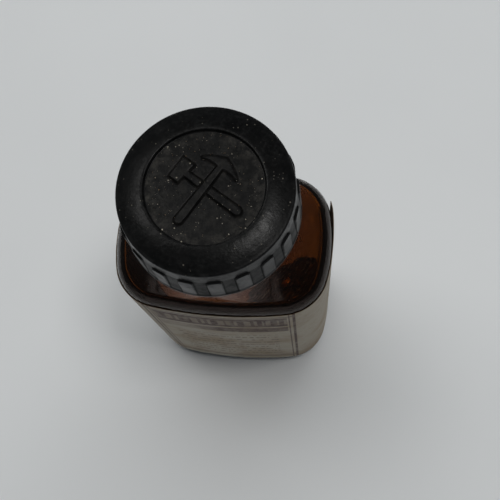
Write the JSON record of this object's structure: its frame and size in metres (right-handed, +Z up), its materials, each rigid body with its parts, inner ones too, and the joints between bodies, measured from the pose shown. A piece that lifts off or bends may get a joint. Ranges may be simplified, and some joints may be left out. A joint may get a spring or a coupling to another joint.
{
  "type": "screw cap sample bottle",
  "caption": "Rectangular amber glass bottle with a black screw cap, lined lid, paper label and a sand and gold sample inside.",
  "frame": {"origin": "centre of the base, on the surface that the bottle stands on", "axes": "+Z up along the neck and cap axis, -Y towards the labelled front, +X to the right-hand side"},
  "size_m": [0.0431, 0.0312, 0.0842],
  "materials": {
    "amber_glass": "polished amber, slightly rippled",
    "black_phenolic": "worn satin black moulding with dust in the recess",
    "pulpboard": "matt grey-brown board",
    "foil": "satin foil",
    "aged_paper": "aged matt paper with a faded printed band",
    "black_sand": "dull dark grains",
    "gold": "rough natural gold"
  },
  "bodies": {
    "bottle": {"bottle": "amber_glass", "label": "aged_paper", "sample_sand": "black_sand", "nugget_1": "gold", "nugget_2": "gold", "nugget_3": "gold", "nugget_4": "gold", "nugget_5": "gold", "nugget_6": "gold", "nugget_7": "gold", "nugget_8": "gold"},
    "liner": {"liner_backing": "pulpboard", "liner_facing": "foil"},
    "cap": {"cap_shell": "black_phenolic"}
  },
  "joints": [
    {"name": "cap_lift", "type": "slide", "parent": "bottle", "child": "liner", "axis": [0, 0, 1], "range_m": [0, 0.0108]},
    {"name": "cap_turn", "type": "hinge", "parent": "liner", "child": "cap", "pos_m": [0, 0, 0.0804], "axis": [0, 0, 1], "range_deg": [0, 900]}
  ],
  "couplings": [
    {"joint": "cap_lift", "follows": "cap_turn", "m_per_rad": 0.0006737}
  ]
}
